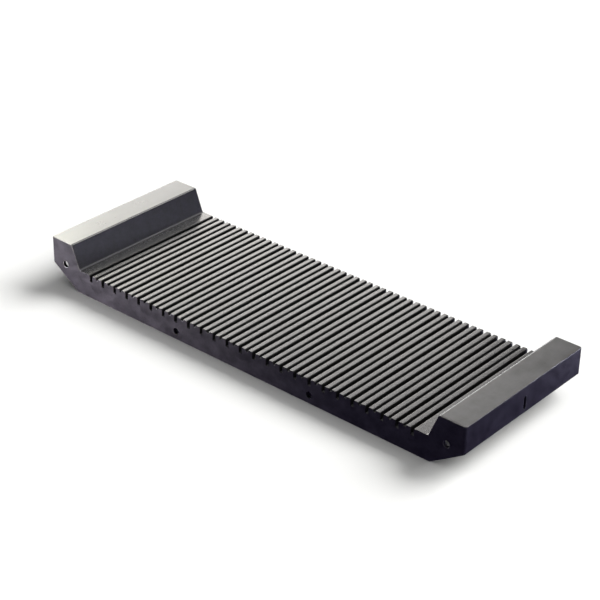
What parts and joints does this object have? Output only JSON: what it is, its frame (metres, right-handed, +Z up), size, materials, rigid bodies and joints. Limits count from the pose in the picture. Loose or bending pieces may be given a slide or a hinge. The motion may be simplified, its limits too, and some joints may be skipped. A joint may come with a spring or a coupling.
{
  "type": "esd circuit board storage tray",
  "caption": "Long black conductive tray with deep and shallow slots across its deck that stand circuit boards on edge between two raised, hollow end grips.",
  "frame": {"origin": "on the table, under the centre of the tray", "axes": "+X along the tray to its right end, +Y to the rear, +Z up"},
  "size_m": [0.49, 0.17, 0.0485],
  "materials": {
    "moulded_shell": "satin, fine moulded texture",
    "slotted_deck": "satin, smoother along the rib tops",
    "underside_ribs": "matt, as moulded"
  },
  "bodies": {
    "root": {"front_side_wall": "moulded_shell", "rear_side_wall": "moulded_shell", "front_left_cheek": "moulded_shell", "front_right_cheek": "moulded_shell", "rear_left_cheek": "moulded_shell", "rear_right_cheek": "moulded_shell", "left_end_cover": "moulded_shell", "right_end_cover": "moulded_shell", "left_land": "slotted_deck", "right_land": "slotted_deck", "deck_plate": "slotted_deck", "rib_pair_01": "slotted_deck", "rib_pair_02": "slotted_deck", "rib_pair_03": "slotted_deck", "rib_pair_04": "slotted_deck", "rib_pair_05": "slotted_deck", "rib_pair_06": "slotted_deck", "rib_pair_07": "slotted_deck", "rib_pair_08": "slotted_deck", "rib_pair_09": "slotted_deck", "rib_pair_10": "slotted_deck", "rib_pair_11": "slotted_deck", "rib_pair_12": "slotted_deck", "rib_pair_13": "slotted_deck", "rib_pair_14": "slotted_deck", "rib_pair_15": "slotted_deck", "rib_pair_16": "slotted_deck", "rib_pair_17": "slotted_deck", "rib_pair_18": "slotted_deck", "rib_pair_19": "slotted_deck", "rib_pair_20": "slotted_deck", "rib_pair_21": "slotted_deck", "rib_pair_22": "slotted_deck", "rib_pair_23": "slotted_deck", "rib_pair_24": "slotted_deck", "shallow_slot_floors": "slotted_deck", "front_stiffener": "underside_ribs", "rear_stiffener": "underside_ribs", "left_cross_web": "underside_ribs", "centre_cross_web": "underside_ribs", "right_cross_web": "underside_ribs"}
  },
  "joints": []
}
